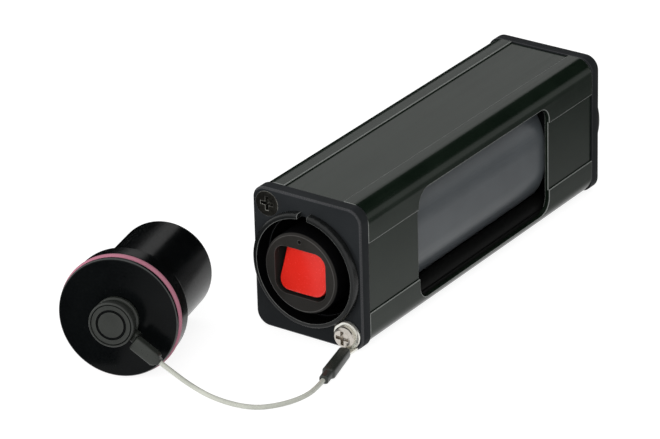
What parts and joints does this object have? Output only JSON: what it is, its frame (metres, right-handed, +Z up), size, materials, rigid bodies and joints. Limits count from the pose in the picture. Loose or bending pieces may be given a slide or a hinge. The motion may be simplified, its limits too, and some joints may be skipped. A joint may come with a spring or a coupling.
{
  "type": "mpo fibre coupler",
  "caption": "In-line coupler for two multi-fibre cables: square metal tube with a shuttered port at each end and a tethered dust cap.",
  "frame": {"origin": "middle of the coupler's base", "axes": "+X right as seen from the front port, +Y from the front port to the rear port, +Z up"},
  "size_m": [0.0559, 0.1311, 0.031],
  "materials": {
    "anodised_profile": "satin black anodised",
    "grey_tube": "satin",
    "black_casting": "satin",
    "black_moulding": "satin",
    "red_shutter": "gloss",
    "steel": "bright",
    "ribbon": "gloss",
    "black_screws": "satin black",
    "nickel": "satin nickel",
    "crimps": "satin",
    "lanyard": "clear-coated",
    "cap_black": "gloss",
    "pink_ring": "satin"
  },
  "bodies": {
    "coupler": {"body_profile": "anodised_profile", "inner_tube": "grey_tube", "front_housing": "black_casting", "rear_housing": "black_casting", "front_insert": "black_moulding", "front_adapter": "black_moulding", "front_plug": "black_moulding", "front_ferrule": "black_moulding", "rear_insert": "black_moulding", "rear_adapter": "black_moulding", "rear_plug": "black_moulding", "rear_ferrule": "black_moulding", "front_shutter_pin": "steel", "front_shutter_spring": "steel", "front_left_guide_pin": "steel", "front_right_guide_pin": "steel", "rear_shutter_pin": "steel", "rear_shutter_spring": "steel", "rear_left_guide_pin": "steel", "rear_right_guide_pin": "steel", "fibre_ribbon": "ribbon", "front_upper_screw": "black_screws", "rear_upper_screw": "black_screws", "rear_lower_screw": "black_screws", "lanyard_screw": "nickel", "lanyard_lug": "nickel", "cap_eyelet": "nickel", "lug_crimp": "crimps", "cap_crimp": "crimps", "lanyard_wire": "lanyard"},
    "front_shutter": {"front_shutter": "red_shutter"},
    "rear_shutter": {"rear_shutter": "red_shutter"},
    "cap": {"cap_body": "cap_black", "cap_seal_ring": "pink_ring", "cap_button": "cap_black"}
  },
  "joints": [
    {"name": "front_shutter_hinge", "type": "hinge", "parent": "coupler", "child": "front_shutter", "pos_m": [0, -0.0443, 0.0207], "axis": [1, 0, 0], "range_deg": [0, 72], "stiffness_Nm_per_rad": 0.002, "springref_deg": -17.19, "deforming": ["front_shutter_spring"]},
    {"name": "rear_shutter_hinge", "type": "hinge", "parent": "coupler", "child": "rear_shutter", "pos_m": [0, 0.0443, 0.0207], "axis": [-1, 0, 0], "range_deg": [0, 72], "stiffness_Nm_per_rad": 0.002, "springref_deg": -17.19, "deforming": ["rear_shutter_spring"]},
    {"name": "cap_swivel", "type": "hinge", "parent": "coupler", "child": "cap", "pos_m": [-0.0223, -0.07813, 0.01297], "axis": [0.3123, -0.9444, 0.1028], "continuous": true}
  ]
}
